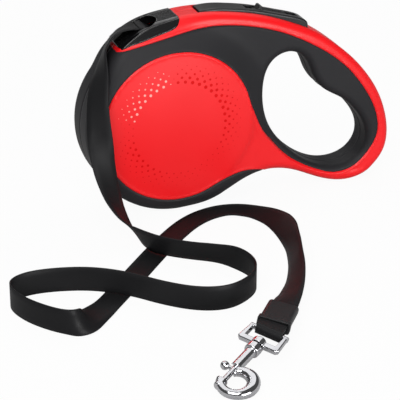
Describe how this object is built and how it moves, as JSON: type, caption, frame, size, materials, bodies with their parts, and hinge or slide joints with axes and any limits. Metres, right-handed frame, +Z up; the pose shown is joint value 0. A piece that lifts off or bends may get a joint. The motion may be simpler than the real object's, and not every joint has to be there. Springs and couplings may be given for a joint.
{
  "type": "retractable tape leash",
  "caption": "Retractable tape leash with a round drum casing, a hand grip, a brake button, flat tape in loops and a swivel snap hook.",
  "frame": {"origin": "under the middle of the casing, on the surface that the drum and the grip's tail stand on", "axes": "+X from the tape mouth to the hand grip, +Y to the casing's left side, +Z up"},
  "size_m": [0.2741, 0.2597, 0.1246],
  "materials": {
    "red_shell": "semi-gloss",
    "soft_grip": "soft matte",
    "gloss_black": "gloss",
    "button_black": "satin",
    "sleeve_black": "satin",
    "inner_grey": "as moulded",
    "bush_white": "as moulded",
    "tape_web": "woven, satin",
    "chrome": "polished",
    "steel": "turned",
    "spring_steel": "drawn"
  },
  "bodies": {
    "casing": {"shell_right": "red_shell", "shell_left": "red_shell", "grip_right": "soft_grip", "grip_left": "soft_grip", "nozzle": "gloss_black", "roller_pin": "steel", "case_screws": "steel", "spindle": "steel", "brake_pivot_pin": "steel", "pawl_pin": "steel", "brake_spring": "spring_steel", "power_spring": "spring_steel", "tape_lead": "tape_web", "tape": "tape_web", "tape_sleeve": "sleeve_black", "tape_end_loop": "tape_web"},
    "reel_body": {"reel": "inner_grey", "reel_flange": "inner_grey", "reel_bushes": "bush_white", "spring_cap": "inner_grey", "tape_coil": "tape_web"},
    "brake_rocker": {"brake_button": "button_black"},
    "pawl": {"brake_pawl": "bush_white"},
    "lock": {"lock_slider": "button_black"},
    "mouth_roller": {"guide_roller": "bush_white"},
    "eye": {"swivel_eye": "chrome"},
    "hook": {"swivel_stud": "chrome", "snap_hook": "chrome", "bolt_spring": "spring_steel"},
    "gate": {"snap_bolt": "chrome"}
  },
  "joints": [
    {"name": "reel_spin", "type": "hinge", "parent": "casing", "child": "reel_body", "pos_m": [-0.04435, 0, 0.0565], "axis": [0, 1, 0], "continuous": true},
    {"name": "brake_press", "type": "hinge", "parent": "casing", "child": "brake_rocker", "pos_m": [0.03865, 0, 0.1045], "axis": [0, 1, 0], "range_deg": [-3, 0], "stiffness_Nm_per_rad": 0.4, "deforming": ["brake_spring"]},
    {"name": "pawl_turn", "type": "hinge", "parent": "casing", "child": "pawl", "pos_m": [-0.00035, 0, 0.1025], "axis": [0, 1, 0], "range_deg": [-9, 0]},
    {"name": "lock_slide", "type": "slide", "parent": "brake_rocker", "child": "lock", "axis": [-0.9608, 0, 0.2773], "range_m": [0, 0.006]},
    {"name": "roller_spin", "type": "hinge", "parent": "casing", "child": "mouth_roller", "pos_m": [-0.06185, 0, 0.1144], "axis": [0, 1, 0], "continuous": true},
    {"name": "eye_tilt", "type": "hinge", "parent": "casing", "child": "eye", "pos_m": [-0.05695, -0.1969, 0.01151], "axis": [0.6121, -0.7802, -0.1291], "range_deg": [-25, 25], "stiffness_Nm_per_rad": 0.02},
    {"name": "hook_swivel", "type": "hinge", "parent": "eye", "child": "hook", "pos_m": [-0.0669, -0.2044, 0.00965], "axis": [-0.7899, -0.5952, -0.1478], "continuous": true},
    {"name": "bolt_slide", "type": "slide", "parent": "hook", "child": "gate", "axis": [0.7899, 0.5952, 0.1478], "range_m": [0, 0.005], "stiffness_N_per_m": 150, "springref_m": -0.002, "deforming": ["bolt_spring"]}
  ],
  "couplings": [
    {"joint": "pawl_turn", "follows": "brake_press", "ratio": 3}
  ]
}
